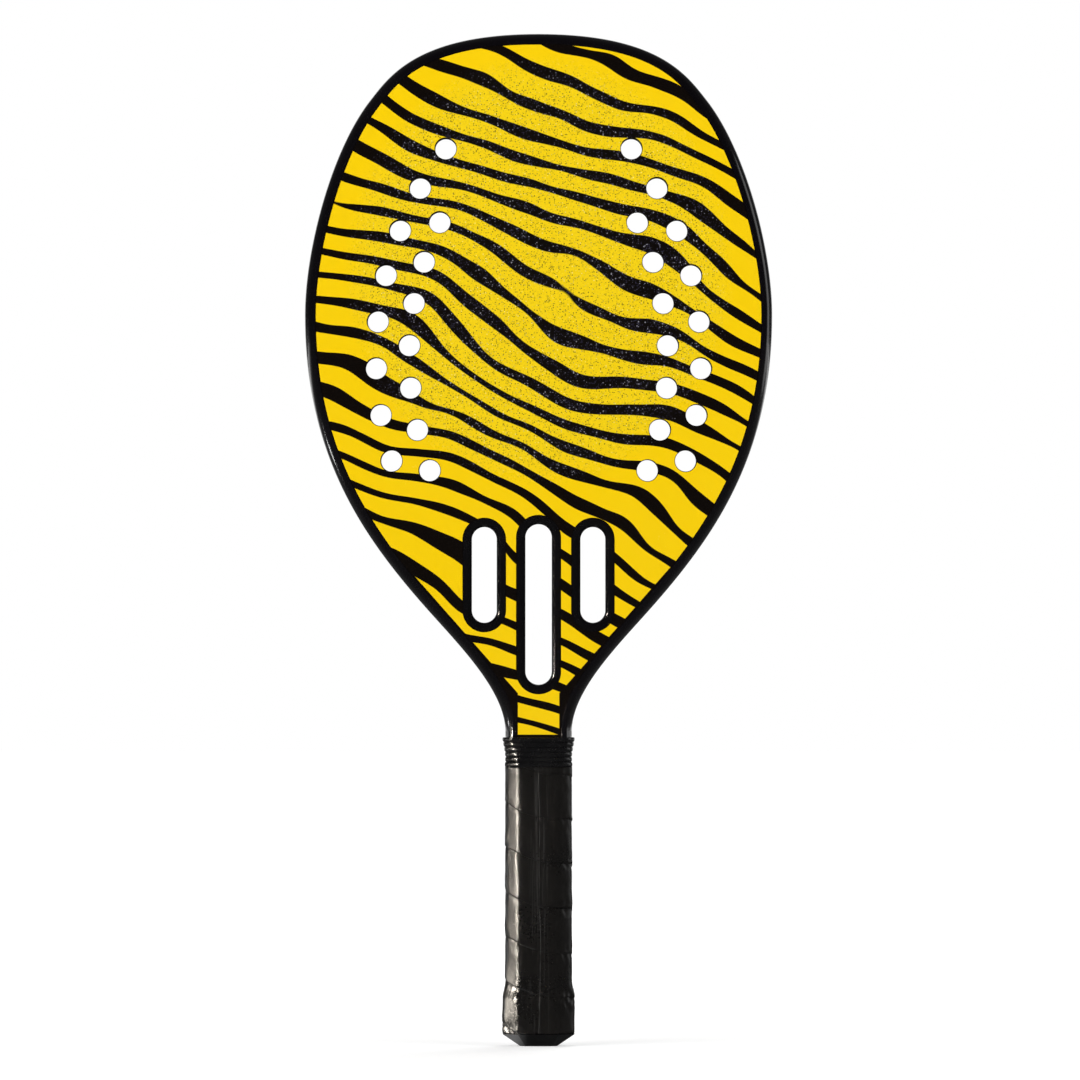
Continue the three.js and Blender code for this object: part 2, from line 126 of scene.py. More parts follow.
def put(tree, kind, inputs=None, **settings):
    """Places a node; an input is given a value or the socket that feeds it."""
    node = tree.nodes.new(kind)
    for name, value in settings.items():
        setattr(node, name, value)
    for name, value in (inputs or {}).items():
        if isinstance(value, bpy.types.NodeSocket):
            tree.links.new(value, node.inputs[name])
        else:
            node.inputs[name].default_value = value
    return node


def calc(tree, operation, *values):
    """One Math node; returns its output socket."""
    return put(tree, "ShaderNodeMath", dict(enumerate(values)), operation=operation).outputs[0]


def ramp(tree, value, low, high, to_low=0.0, to_high=1.0):
    """Turns the range low..high into to_low..to_high, clamped."""
    inputs = {"Value": value, "From Min": low, "From Max": high, "To Min": to_low, "To Max": to_high}
    return put(tree, "ShaderNodeMapRange", inputs, clamp=True).outputs[0]


def blend(tree, share, first, second, kind="FLOAT"):
    """Mixes two numbers, or two colours where kind is RGBA: first at share 0, second at share 1."""
    a, b, result = MIX_SOCKETS[kind]
    return put(tree, "ShaderNodeMix", {0: share, a: first, b: second}, data_type=kind).outputs[result]


print("mixes for", *MIX_SOCKETS)


# %% Helpers for places and noise
def on_object(tree):
    """Where a point lies on its piece, in metres."""
    return put(tree, "ShaderNodeTexCoord").outputs["Object"]


def split(tree, vector):
    """A vector's three numbers, as the sockets X, Y and Z."""
    return put(tree, "ShaderNodeSeparateXYZ", {0: vector}).outputs


def noisy(tree, place, scale, detail=0.0):
    """Soft noise from 0 to 1; scale is how many swells lie in one unit of place."""
    return put(tree, "ShaderNodeTexNoise", {"Vector": place, "Scale": scale, "Detail": detail}).outputs[0]


print("helpers ready")

# %% [markdown]
# ## Effects that several finishes share
# A finish is never one flat colour. Even black lacquer has a slight ripple and the haze of handling, and
# every moulding or leather has a grain. Each effect is a node group that is built once. It puts out only
# values that change over the surface, and every material places it with its own scale.

# %% Effect: handling haze
CLOUD_SHARE, SPECK_SHARE = 0.65, 0.35


def new_group(name, inputs, output):
    """A shader node group with float inputs {name: default} and one float output."""
    tree = bpy.data.node_groups.new(name, "ShaderNodeTree")
    for label, default in inputs.items():
        socket = tree.interface.new_socket(label, in_out="INPUT", socket_type="NodeSocketFloat")
        socket.default_value = default
    tree.interface.new_socket(output, in_out="OUTPUT", socket_type="NodeSocketFloat")
    return tree, put(tree, "NodeGroupInput").outputs, put(tree, "NodeGroupOutput").inputs


haze, given, result = new_group("handling haze", {"Scale": 40.0, "Fine scale": 400.0}, "Haze")
place = on_object(haze)
clouds = noisy(haze, place, given["Scale"], detail=3.0)
specks = noisy(haze, place, given["Fine scale"], detail=2.0)
cloudy = calc(haze, "MULTIPLY", clouds, CLOUD_SHARE)
both = calc(haze, "MULTIPLY_ADD", specks, SPECK_SHARE, cloudy)
haze.links.new(ramp(haze, both, 0.3, 0.7), result["Haze"])
print("effect:", haze.name)

# %% Effect: grain
grain, given, result = new_group("grain", {"Scale": 1500.0, "Softness": 0.5}, "Height")
place = on_object(grain)
cell_inputs = {"Vector": place, "Scale": given["Scale"]}
cells = put(grain, "ShaderNodeTexVoronoi", cell_inputs, feature="SMOOTH_F1").outputs["Distance"]
fluff = noisy(grain, place, given["Scale"], detail=2.0)
grain.links.new(blend(grain, given["Softness"], cells, fluff), result["Height"])
print("effect:", grain.name)


# %% Start of every finish
def finish(name, roughness, coat=0.0, coat_roughness=0.1, specular=0.5):
    """A material with its Principled shader; an effect linked later takes the place of roughness."""
    material = bpy.data.materials.new(name)
    material.use_nodes = True
    tree = material.node_tree
    shader = tree.nodes["Principled BSDF"]
    shader.inputs["Roughness"].default_value = roughness
    shader.inputs["Coat Weight"].default_value = coat
    shader.inputs["Coat Roughness"].default_value = coat_roughness
    shader.inputs["Specular IOR Level"].default_value = specular
    return material, tree, shader


def add_haze(tree, scale, fine_scale):
    """Places the handling haze; returns its value, from 0 where clean to 1."""
    inputs = {"Scale": scale, "Fine scale": fine_scale}
    return put(tree, "ShaderNodeGroup", inputs, node_tree=haze).outputs["Haze"]


def add_grain(tree, scale, softness):
    """Places the grain; returns its height. Softness goes from round cells, 0, to fluff, 1."""
    inputs = {"Scale": scale, "Softness": softness}
    return put(tree, "ShaderNodeGroup", inputs, node_tree=grain).outputs["Height"]


print("every finish starts as a Principled shader")

# %% Colour, roughness and relief
def colour_between(tree, shader, share, first, second):
    """Feeds the base colour: first where share is 0, second where it is 1."""
    tree.links.new(blend(tree, share, first, second, "RGBA"), shader.inputs["Base Color"])


def roughness_between(tree, shader, share, low, high):
    """Feeds the roughness: low where share is 0, high where it is 1."""
    tree.links.new(ramp(tree, share, 0.0, 1.0, low, high), shader.inputs["Roughness"])


def set_bump(tree, shader, height, depth):
    """Feeds the shader's normal from a height; depth is what a height of 1 stands for, in metres."""
    bump = put(tree, "ShaderNodeBump", {"Height": height, "Distance": depth})
    tree.links.new(bump.outputs[0], shader.inputs["Normal"])


print("finishes start here")

# %% [markdown]
# ## Black lacquer
# The frame is a composite tube under gloss black lacquer. Lacquer is nearly a mirror, with a faint ripple
# known as orange peel, and finger haze that makes it duller in patches. The two effects give just that.

# %% Finish: lacquer
LACQUER_CLEAN = (0.0015, 0.0009, 0.0018, 1)
LACQUER_HAZED = (0.0030, 0.0021, 0.0034, 1)

lacquer, tree, shader = finish("gloss black lacquer", 0.14, coat=0.5, coat_roughness=0.06)
marks = add_haze(tree, scale=28.0, fine_scale=900.0)
colour_between(tree, shader, marks, LACQUER_CLEAN, LACQUER_HAZED)
roughness_between(tree, shader, marks, low=0.10, high=0.24)
set_bump(tree, shader, add_grain(tree, scale=420.0, softness=0.9), depth=0.00004)
print("finish:", lacquer.name)

# %% [markdown]
# ## Black moulded rims
# The three slots are lined with moulded plastic rims. A moulding out of a polished tool is glossy, but
# duller than lacquer and with a finer skin. It takes the same steps as the lacquer, with other values.

# %% Finish: moulded rim
RIM_CLEAN = (0.0015, 0.0012, 0.0018, 1)
RIM_HAZED = (0.0036, 0.0031, 0.0039, 1)

rim_black, tree, shader = finish("gloss black moulding", 0.2, coat=0.2, coat_roughness=0.12)
marks = add_haze(tree, scale=60.0, fine_scale=1200.0)
colour_between(tree, shader, marks, RIM_CLEAN, RIM_HAZED)
roughness_between(tree, shader, marks, low=0.16, high=0.30)
set_bump(tree, shader, add_grain(tree, scale=1800.0, softness=0.6), depth=0.00002)
print("finish:", rim_black.name)

# %% [markdown]
# ## Printed sheet
# The face is a thin composite sheet with a print under clear gloss. The design is a plain one of bold black
# waves on yellow. A wave is a sine of the distance across the stripes. Noise bends that distance, so the
# waves wander, and noise moves the limit between black and yellow, so they swell, thin out and end in
# points. The pattern reads Object coordinates in millimetres, so a pitch of 13 is 13 mm on the racket.

# %% Finish: printed sheet, where a point lies
WAVE_PITCH, WAVE_LEAN = 13.2, math.radians(24)
TO_MM_FLAT = (1000, 0, 1000)

printed, tree, shader = finish("printed sheet", 0.24, coat=0.25, coat_roughness=0.1, specular=0.3)
flat_place = put(tree, "ShaderNodeMapping", {"Vector": on_object(tree), "Scale": TO_MM_FLAT}).outputs[0]
axes = split(tree, flat_place)
across, up = axes["X"], axes["Z"]
lean_across = calc(tree, "MULTIPLY", across, math.sin(WAVE_LEAN) / WAVE_PITCH)
over_stripes = calc(tree, "MULTIPLY_ADD", up, math.cos(WAVE_LEAN) / WAVE_PITCH, lean_across)
print("waves every", WAVE_PITCH, "mm")

# %% Finish: printed sheet, the waves
SLOW_SCALE, SLOW_BEND = 0.0105, 3.4
QUICK_SCALE, QUICK_BEND = 0.034, 0.55
SWELL_SCALE = 0.023
BOLD_LIMIT, THIN_LIMIT = -0.15, 0.95
WAVE_EDGE = 0.04

bent = calc(tree, "MULTIPLY_ADD", noisy(tree, flat_place, SLOW_SCALE), SLOW_BEND, over_stripes)
bent = calc(tree, "MULTIPLY_ADD", noisy(tree, flat_place, QUICK_SCALE), QUICK_BEND, bent)
wave = calc(tree, "SINE", calc(tree, "MULTIPLY", bent, 2 * math.pi))
swell = noisy(tree, flat_place, SWELL_SCALE, detail=1.0)
limit = ramp(tree, swell, 0.25, 0.75, BOLD_LIMIT, THIN_LIMIT)
stripe = ramp(tree, calc(tree, "SUBTRACT", wave, limit), -WAVE_EDGE, WAVE_EDGE)
print("waves on", printed.name)

# %% [markdown]
# The print is framed in black. Along the throat the frame's border is wider than the tube's lip, and the
# waves end level just above the collar. Both are distances from straight lines: the throat's slanted side
# and the neck's upright side. The cut edges of the sheet, in the holes, show bare dark composite.

# %% Finish: printed sheet, the black borders
THROAT_CORNER = (56.4, 217.2)
THROAT_LEAN = math.radians(41.4)
NECK_HALF = 16.5
BORDER, PRINT_FOOT, BORDER_EDGE = 6.3, 153.9, 0.1
CUT_EDGE, FLAT_FACE = 0.975, 0.998

from_middle = calc(tree, "ABSOLUTE", across)
inside_corner = calc(tree, "SUBTRACT", THROAT_CORNER[0], from_middle)
above_corner = calc(tree, "SUBTRACT", up, THROAT_CORNER[1])
from_slant = calc(tree, "MULTIPLY", inside_corner, math.cos(THROAT_LEAN))
from_throat = calc(tree, "MULTIPLY_ADD", above_corner, math.sin(THROAT_LEAN), from_slant)
from_neck = calc(tree, "SUBTRACT", NECK_HALF, from_middle)
inside = calc(tree, "MAXIMUM", from_throat, from_neck)
edge = ramp(tree, inside, BORDER - BORDER_EDGE, BORDER + BORDER_EDGE, 1.0, 0.0)
below = ramp(tree, up, PRINT_FOOT - BORDER_EDGE, PRINT_FOOT + BORDER_EDGE, 1.0, 0.0)
facing = split(tree, put(tree, "ShaderNodeTexCoord").outputs["Normal"])["Y"]
cut_edge = ramp(tree, calc(tree, "ABSOLUTE", facing), CUT_EDGE, FLAT_FACE, 1.0, 0.0)
border = calc(tree, "MAXIMUM", calc(tree, "MAXIMUM", edge, below), cut_edge)
black = calc(tree, "MAXIMUM", stripe, border)
print("border", BORDER, "mm, print foot at", PRINT_FOOT, "mm")

# %% [markdown]
# The hitting area is gritty: fine sand is bonded on in a tall oval, so that the ball can be given spin.
# Each grain is painted darker on the yellow, as painted shade, and paler on the black, as a painted
# sheen. Voronoi cells about 0.7 mm apart place one grain each, and each cell's random colour says how
# large its grain is, or that there is none, and whether it gets a painted glint, a bright speck that
# stands in for a highlight.

# %% Finish: printed sheet, the sand
SAND_CENTRE = (0.7, 0.0, 383.0)
SAND_HALF = (93.0, 1.0, 103.0)
SAND_FULL, SAND_END = 0.88, 1.04
GRAIN_SCALE, DUST_SCALE = 1.5, 1.1
BARE_CHANCE, LARGEST_GRAIN = 0.2, 0.55

oval_inputs = {"Vector": flat_place, "Location": SAND_CENTRE, "Scale": SAND_HALF}
in_oval = put(tree, "ShaderNodeMapping", oval_inputs, vector_type="TEXTURE").outputs[0]
from_centre = put(tree, "ShaderNodeVectorMath", {0: in_oval}, operation="LENGTH").outputs["Value"]
sanded = ramp(tree, from_centre, SAND_FULL, SAND_END, 1.0, 0.0)
grains = put(tree, "ShaderNodeTexVoronoi", {"Vector": flat_place, "Scale": GRAIN_SCALE}).outputs
chance = split(tree, grains["Color"])
reach = ramp(tree, chance["X"], BARE_CHANCE, 1.0, 0.0, LARGEST_GRAIN)
one_grain = ramp(tree, calc(tree, "SUBTRACT", reach, grains["Distance"]), -0.02, 0.08)
# Which grains get a painted glint: a bright speck painted in as a highlight.
painted_glint = ramp(tree, chance["Y"], 0.84, 0.96)
sand = calc(tree, "MULTIPLY", one_grain, sanded)
dust = ramp(tree, noisy(tree, flat_place, DUST_SCALE, detail=3.0), 0.35, 0.7)
tone = calc(tree, "MULTIPLY", dust, sanded)
print("sand oval", SAND_HALF[0] * 2, "x", SAND_HALF[2] * 2, "mm")

# %% Finish: printed sheet, its colours and gloss
YELLOW, DEEP_YELLOW = (1.0, 0.72, 0.0, 1), (1.0, 0.66, 0.001, 1)
DUSTY_YELLOW = (0.80, 0.50, 0.004, 1)
PRINT_BLACK = (0.0042, 0.0024, 0.0016, 1)
# Grains are painted darker on the yellow, as painted shade, and paler on the black, as a painted sheen. The
# glint colours are painted highlights.
GRAIN_SHADE_ON_YELLOW, PAINTED_GLINT_ON_YELLOW = (0.15, 0.075, 0.002, 1), (1.0, 0.86, 0.22, 1)
GRAIN_SHEEN_ON_BLACK, PAINTED_GLINT_ON_BLACK = (0.050, 0.046, 0.085, 1), (0.48, 0.47, 0.56, 1)
GRAIN_SHADING_STRENGTH, DUST_COVER = 0.85, 0.5

yellow = blend(tree, sanded, DEEP_YELLOW, YELLOW, "RGBA")
yellow = blend(tree, calc(tree, "MULTIPLY", tone, DUST_COVER), yellow, DUSTY_YELLOW, "RGBA")
grain_shading_on_yellow = blend(tree, painted_glint, GRAIN_SHADE_ON_YELLOW, PAINTED_GLINT_ON_YELLOW, "RGBA")
grain_shading_on_black = blend(tree, painted_glint, GRAIN_SHEEN_ON_BLACK, PAINTED_GLINT_ON_BLACK, "RGBA")
grain_shading_share = calc(tree, "MULTIPLY", sand, GRAIN_SHADING_STRENGTH)
light = blend(tree, grain_shading_share, yellow, grain_shading_on_yellow, "RGBA")
dark = blend(tree, grain_shading_share, PRINT_BLACK, grain_shading_on_black, "RGBA")
colour_between(tree, shader, black, light, dark)
clear_gloss = ramp(tree, add_haze(tree, scale=22.0, fine_scale=400.0), 0.0, 1.0, 0.14, 0.28)
tree.links.new(calc(tree, "MULTIPLY_ADD", sanded, 0.22, clear_gloss), shader.inputs["Roughness"])
tree.links.new(ramp(tree, sanded, 0.0, 1.0, 0.25, 0.03), shader.inputs["Coat Weight"])
set_bump(tree, shader, calc(tree, "MULTIPLY_ADD", tone, 0.4, sand), depth=0.00012)
print("finish:", printed.name)

# %% [markdown]
# ## Foam
# The core is closed-cell foam: matt, dark and full of small cells. It shows only inside the holes. The
# cells could be modelled, but at half a millimetre they are only a grain, so the grain effect makes them.

# %% Finish: foam
FOAM_DARK, FOAM_LIGHT = (0.006, 0.005, 0.006, 1), (0.016, 0.014, 0.015, 1)

foam, tree, shader = finish("closed-cell foam", 0.85, specular=0.25)
cells = add_grain(tree, scale=2200.0, softness=0.2)
marks = add_haze(tree, scale=120.0, fine_scale=1500.0)
colour_between(tree, shader, marks, FOAM_DARK, FOAM_LIGHT)
tree.links.new(ramp(tree, cells, 0.0, 0.7, 0.75, 0.95), shader.inputs["Roughness"])
set_bump(tree, shader, cells, depth=0.0002)
print("finish:", foam.name)

# %% [markdown]
# ## Synthetic leather
# The grip is soft synthetic leather, dark and slightly shiny. It has a fine pebble grain, and broad shallow
# creases that noise makes when it is stretched along the wrap. A long crease runs up the middle of front
# and back, with fine pulled lines beside it. They are raised a little in the relief and painted paler, a
# painted highlight where they would catch the light.

# %% Finish: synthetic leather, creases and pebbles
CREASE_LEAN, CREASE_STRETCH = 0.23, (60, 60, 110)

leather, tree, shader = finish("soft synthetic leather", 0.31, specular=0.4)
place = on_object(tree)
crease_inputs = {"Vector": place, "Rotation": (0.0, CREASE_LEAN, 0.0), "Scale": CREASE_STRETCH}
creases = noisy(tree, put(tree, "ShaderNodeMapping", crease_inputs).outputs[0], 1.0, detail=1.5)
pebble = add_grain(tree, scale=1700.0, softness=0.35)
marks = add_haze(tree, scale=45.0, fine_scale=700.0)
roughness_between(tree, shader, marks, low=0.25, high=0.33)
print("leather creased")

# %% Finish: synthetic leather, pulled lines
MAIN_CREASE, CREASE_SWAY = 0.0004, 0.0022
LINE_CORE, LINE_END = 0.00006, 0.00022
PULLED_FULL, PULLED_END = 0.0025, 0.0065
STREAK_STRETCH, STREAK_WIDTH = (620, 160, 11), 0.035

sideways = split(tree, place)["X"]
sway = noisy(tree, place, 26.0, detail=1.0)
line_off = calc(tree, "MULTIPLY_ADD", sway, CREASE_SWAY, -CREASE_SWAY / 2 - MAIN_CREASE)
from_line = calc(tree, "ABSOLUTE", calc(tree, "ADD", sideways, line_off))
line = ramp(tree, from_line, LINE_CORE, LINE_END, 1.0, 0.0)
main_line = calc(tree, "MULTIPLY", line, ramp(tree, creases, 0.3, 0.5))
drawn = put(tree, "ShaderNodeMapping", {"Vector": place, "Scale": STREAK_STRETCH}).outputs[0]
from_streak = calc(tree, "ABSOLUTE", calc(tree, "SUBTRACT", noisy(tree, drawn, 1.0, detail=1.0), 0.5))
streaks = ramp(tree, from_streak, 0.0, STREAK_WIDTH, 1.0, 0.0)
from_crease = calc(tree, "ABSOLUTE", calc(tree, "SUBTRACT", sideways, MAIN_CREASE))
middle = ramp(tree, from_crease, PULLED_FULL, PULLED_END, 1.0, 0.0)
# The pulled lines are raised in the relief and also painted paler, as a painted highlight.
pulled_lines_and_highlight = calc(tree, "MULTIPLY_ADD", calc(tree, "MULTIPLY", streaks, middle), 0.4, main_line)
print("main crease", MAIN_CREASE * 1000, "mm right of the middle")

# %% Finish: synthetic leather, colour and relief
LEATHER_DARK, LEATHER_HAZED = (0.0050, 0.0046, 0.0043, 1), (0.0115, 0.0102, 0.0092, 1)
# The paler colour painted on the pulled lines is a painted highlight.
LEATHER_LINE_HIGHLIGHT = (0.072, 0.070, 0.067, 1)

unpulled = blend(tree, marks, LEATHER_DARK, LEATHER_HAZED, "RGBA")
colour_between(tree, shader, calc(tree, "MULTIPLY", pulled_lines_and_highlight, 0.8), unpulled, LEATHER_LINE_HIGHLIGHT)
relief = calc(tree, "MULTIPLY_ADD", creases, 3.0, calc(tree, "MULTIPLY", pebble, 0.05))
relief = calc(tree, "MULTIPLY_ADD", pulled_lines_and_highlight, 0.4, relief)
set_bump(tree, shader, relief, depth=0.00016)
print("finish:", leather.name)

# %% [markdown]
# ## Rubber
# The collar is smooth rubber, stretched over the neck, and takes a soft shine. Its ribs are modelled
# further down, so the finish needs only a light coat, haze and a shallow, fluffy grain.

# %% Finish: rubber
RUBBER_DARK, RUBBER_LIGHT = (0.0035, 0.0034, 0.0038, 1), (0.0075, 0.0072, 0.0076, 1)

rubber, tree, shader = finish("ribbed rubber", 0.25, coat=0.25, coat_roughness=0.15)
marks = add_haze(tree, scale=90.0, fine_scale=900.0)
colour_between(tree, shader, marks, RUBBER_DARK, RUBBER_LIGHT)
roughness_between(tree, shader, marks, low=0.18, high=0.36)
set_bump(tree, shader, add_grain(tree, scale=900.0, softness=0.8), depth=0.00005)
print("finish:", rubber.name)

# %% [markdown]
# ## Mouldings and wire
# The butt cap has the fine dull skin of a moulding out of a sanded tool, and the two handle shells have the
# same skin, greyer and duller, so one function makes both. The staples are plain steel wire with patches
# of haze.

# %% Finish: moulded cap and shells
CAP_DARK, CAP_LIGHT = (0.005, 0.005, 0.0055, 1), (0.010, 0.0095, 0.010, 1)
SHELL_DARK, SHELL_LIGHT = (0.02, 0.02, 0.021, 1), (0.035, 0.035, 0.036, 1)


def moulding(name, dark, light, low, high):
    """A moulded skin; low and high are the limits of its roughness."""
    material, tree, shader = finish(name, (low + high) / 2, specular=0.4)
    marks = add_haze(tree, scale=70.0, fine_scale=1100.0)
    colour_between(tree, shader, marks, dark, light)
    roughness_between(tree, shader, marks, low, high)
    set_bump(tree, shader, add_grain(tree, scale=2600.0, softness=0.5), depth=0.00008)
    return material


cap_black = moulding("fine matt moulding", CAP_DARK, CAP_LIGHT, low=0.28, high=0.42)
shell_grey = moulding("moulded shell", SHELL_DARK, SHELL_LIGHT, low=0.6, high=0.8)
print("finishes:", cap_black.name, "and", shell_grey.name)

# %% Finish: steel wire
STEEL_DARK, STEEL_LIGHT = (0.42, 0.42, 0.43, 1), (0.62, 0.61, 0.60, 1)

wire, tree, shader = finish("plain steel wire", 0.35)
shader.inputs["Metallic"].default_value = 1.0
marks = add_haze(tree, scale=300.0, fine_scale=2500.0)
colour_between(tree, shader, marks, STEEL_DARK, STEEL_LIGHT)
roughness_between(tree, shader, marks, low=0.25, high=0.5)
print("finish:", wire.name)

# %% [markdown]
# ## The outline
# The silhouette of one half is four Bezier curves: crown, shoulder, flank and waist. They are the CAD's
# own, with its shares and sizes, here in metres. The frame tube, both sheets and the core all follow this
# one line at their own distance from it, so they fit each other. Points along it are taken close together,
# because a gloss edge shows every corner.

# %% The outline's curves
TOP, WIDEST, HALF_WIDTH = 0.5, 0.361, 0.1155
THROAT = Vector((0.0564, 0.0, 0.2172))
NECK = Vector((0.0165, 0.0, 0.1556))
FLANK_SHARES, WAIST_SHARES = (0.47, 0.335), (0.4, 0.325)
CROWN_SHARES = ((0, 1), (0.52, 1), (0.6385, 0.85), (0.721, 0.763), (0.885, 0.5885), (1, 0.2365), (1, 0))

crown = [Vector((a * HALF_WIDTH, 0, WIDEST + b * (TOP - WIDEST))) for a, b in CROWN_SHARES]
slant = Vector((math.sin(THROAT_LEAN), 0, math.cos(THROAT_LEAN)))
down = Vector((0, 0, -1))
flank_drop, waist_drop = WIDEST - THROAT.z, THROAT.z - NECK.z
below_crown = crown[6] + down * FLANK_SHARES[0] * flank_drop
above_throat = THROAT + slant * FLANK_SHARES[1] * flank_drop
below_throat = THROAT - slant * WAIST_SHARES[0] * waist_drop
above_neck = NECK - down * WAIST_SHARES[1] * waist_drop
curves = [
    crown[0:4],
    crown[3:7],
    [crown[6], below_crown, above_throat, THROAT],
    [THROAT, below_throat, above_neck, NECK],
]
print("outline of", len(curves), "curves a side")

# %% Lines at a distance from the outline
CURVE_POINTS = 40


def half_line(inset, foot, bend=()):
    """Points of the right half from the top down to the height foot, moved inwards by inset."""
    points = []
    for curve in [*curves, *bend]:
        points += interpolate_bezier(*curve, CURVE_POINTS)[: CURVE_POINTS - 1]
    points.append(curve[3].copy())
    moved = []
    for i, point in enumerate(points):
        ahead = points[min(i + 1, len(points) - 1)] - points[max(i - 1, 0)]
        inward = Vector((ahead.z, 0, -ahead.x)).normalized()
        if i == 0:
            inward = down
        moved.append(point + inward * inset)
    moved.append(Vector((moved[-1].x, 0, foot)))
    return moved


def whole_line(inset, foot, bend=()):
    """The right half from its foot up to the top, and the left half down again."""
    right = half_line(inset, foot, bend)
    left = [Vector((-p.x, 0, p.z)) for p in right[1:]]
    return [*reversed(right), *left]


print("half outline of", len(half_line(0.0, 0.0)), "points")

# %% [markdown]
# ## Plates and sweeps
# A plate with many holes is simplest as a flat curve: one closed line for the edge, one for each hole, and
# Blender fills between them and gives it thickness. A tube or rim of one section is a line with a bevel
# object, which is the section drawn as a curve of its own. Both are turned upright, made a mesh and put in
# place.

# %% Curve helpers
UPRIGHT = Matrix.Rotation(math.radians(90), 4, "X")
scene_objects = bpy.context.scene.collection.objects


def pairs(points):
    """The (across, up) pairs of a list of points."""
    return [(p.x, p.z) for p in points]


def flat_curve(name, lines, closed=True):
    """A flat curve object with one straight-edged line for each list of (across, up) points."""
    data = bpy.data.curves.new(name, "CURVE")
    data.dimensions = "2D"
    for line in lines:
        spline = data.splines.new("POLY")
        spline.points.add(len(line) - 1)
        for place, (a, b) in zip(spline.points, line):
            place.co = (a, b, 0, 1)
        spline.use_cyclic_u = closed
    curve = bpy.data.objects.new(name, data)
    scene_objects.link(curve)
    return curve


def made_mesh(curve, name, matrix):
    """The mesh piece that a curve makes, moved by matrix; the curve goes."""
    bpy.context.view_layer.update()
    evaluated = curve.evaluated_get(bpy.context.evaluated_depsgraph_get())
    mesh = bpy.data.meshes.new_from_object(evaluated)
    mesh.transform(matrix)
    mesh.name = name
    bpy.data.objects.remove(curve)
    return mesh


print("curve helpers ready")

# %% Piece helpers
DOUBLES = 1e-6
SMOOTH_UP_TO = math.radians(35)


def add_piece(name, mesh, material, node):
    """A finished piece: it rides on the racket's one body and is drawn in place of a CAD node, which it
    hides.
    """
    piece = bpy.data.objects.new(name, mesh)
    scene_objects.link(piece)
    mesh.materials.clear()
    mesh.materials.append(material)
    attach(piece, "root")
    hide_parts(node)
    return piece


def evenly_shaded(piece):
    """Lets the large flat faces decide the shading at their edges, and prints the piece's size."""
    modifier = piece.modifiers.new("even shading", "WEIGHTED_NORMAL")
    modifier.weight, modifier.keep_sharp = 100, True
    print(piece.name, len(piece.data.polygons), "faces", [round(c, 4) for c in piece.dimensions])


def cleaned(mesh, smooth_up_to=SMOOTH_UP_TO):
    """Merges doubles, turns the faces outwards and shades smooth but for sharp edges."""
    bm = bmesh.new()
    bm.from_mesh(mesh)
    bmesh.ops.remove_doubles(bm, verts=bm.verts, dist=DOUBLES)
    bmesh.ops.recalc_face_normals(bm, faces=bm.faces)
    for face in bm.faces:
        face.smooth = True
    bm.to_mesh(mesh)
    bm.free()
    mesh.set_sharp_from_angle(angle=smooth_up_to)
    return mesh


print("piece helpers ready")

# %% [markdown]
# ## Holes and slots
# Thirty holes stand beside the hitting area, fifteen on each side in two curved rows. They follow circles
# round a centre on the other side of the racket. A row is its circle's radius, the angle of its lowest
# hole in degrees, and its number of holes. The slots have round ends. Their places come from the CAD
# rims' boxes.

# %% Holes
HOLE_RADIUS, HOLE_CORNERS = 0.00525, 56
ARC_CENTRE = Vector((-0.0923, 0.0, 0.33965))
ARC_RADIUS, ROW_SPACING, HOLE_PITCH = 0.1725, 0.0163, 7.7
ROWS = ((ARC_RADIUS, -17.1, 8), (ARC_RADIUS - ROW_SPACING, -20.8, 7))


def hole_line(x, z):
    """The round line of the hole at x, z."""
    turns = [2 * math.pi * i / HOLE_CORNERS for i in range(HOLE_CORNERS)]
    return [(x + HOLE_RADIUS * math.cos(t), z + HOLE_RADIUS * math.sin(t)) for t in turns]


hole_places = []
for radius, start, count in ROWS:
    for i in range(count):
        angle = math.radians(start + i * HOLE_PITCH)
        x, z = ARC_CENTRE.x + radius * math.cos(angle), ARC_CENTRE.z + radius * math.sin(angle)
        hole_places += [(x, z), (-x, z)]
print(len(hole_places), "holes")

# %% Slots
RIM_NODES = ("slot_rim_left", "slot_rim_centre", "slot_rim_right")
RIM_WIDTH, SLOT_END_STEPS = 0.0043, 28


def slot_line(node, grow):
    """The line of a slot with round ends, grown by a distance from the slot's own edge."""
    low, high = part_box(node)
    half = (high.x - low.x) / 2 - RIM_WIDTH + grow
    middle = (low.x + high.x) / 2
    top, bottom = high.z - RIM_WIDTH + grow - half, low.z + RIM_WIDTH - grow + half
    turns = [math.pi * i / SLOT_END_STEPS for i in range(SLOT_END_STEPS + 1)]
    upper = [(middle + half * math.cos(t), top + half * math.sin(t)) for t in turns]
    lower = [(middle - half * math.cos(t), bottom - half * math.sin(t)) for t in turns]
    return upper + lower


print(len(RIM_NODES), "slots")

# %% [markdown]
# ## Face sheets and core
# Each sheet is 0.8 mm thick and lies in a step of the tube. Its edges are rounded a little, as a router's
# bit and sanding leave them, which catches light round every hole. The core is the thick foam plate between
# them.

# %% Plates
SHEET_INSET, SHEET_FOOT, SHEET_THICKNESS, SHEET_ROUND = 0.0053, 0.144, 0.0008, 0.00038
SHEET_MIDDLE = FACE - SHEET_THICKNESS / 2


def plate(name, inset, foot, thickness, middle, round_over):
    """A plate in the outline's form with all holes and slots, its middle plane at the depth middle."""
    lines = [pairs(whole_line(inset, foot))]
    lines += [hole_line(x, z) for x, z in hole_places]
    lines += [slot_line(node, RIM_WIDTH) for node in RIM_NODES]
    curve = flat_curve(name, lines)
    curve.data.fill_mode = "BOTH"
    curve.data.extrude = thickness / 2 - round_over
    curve.data.bevel_depth = round_over
    curve.data.bevel_resolution = 2
    curve.data.offset = -round_over
    return cleaned(made_mesh(curve, name, Matrix.Translation((0, middle, 0)) @ UPRIGHT))


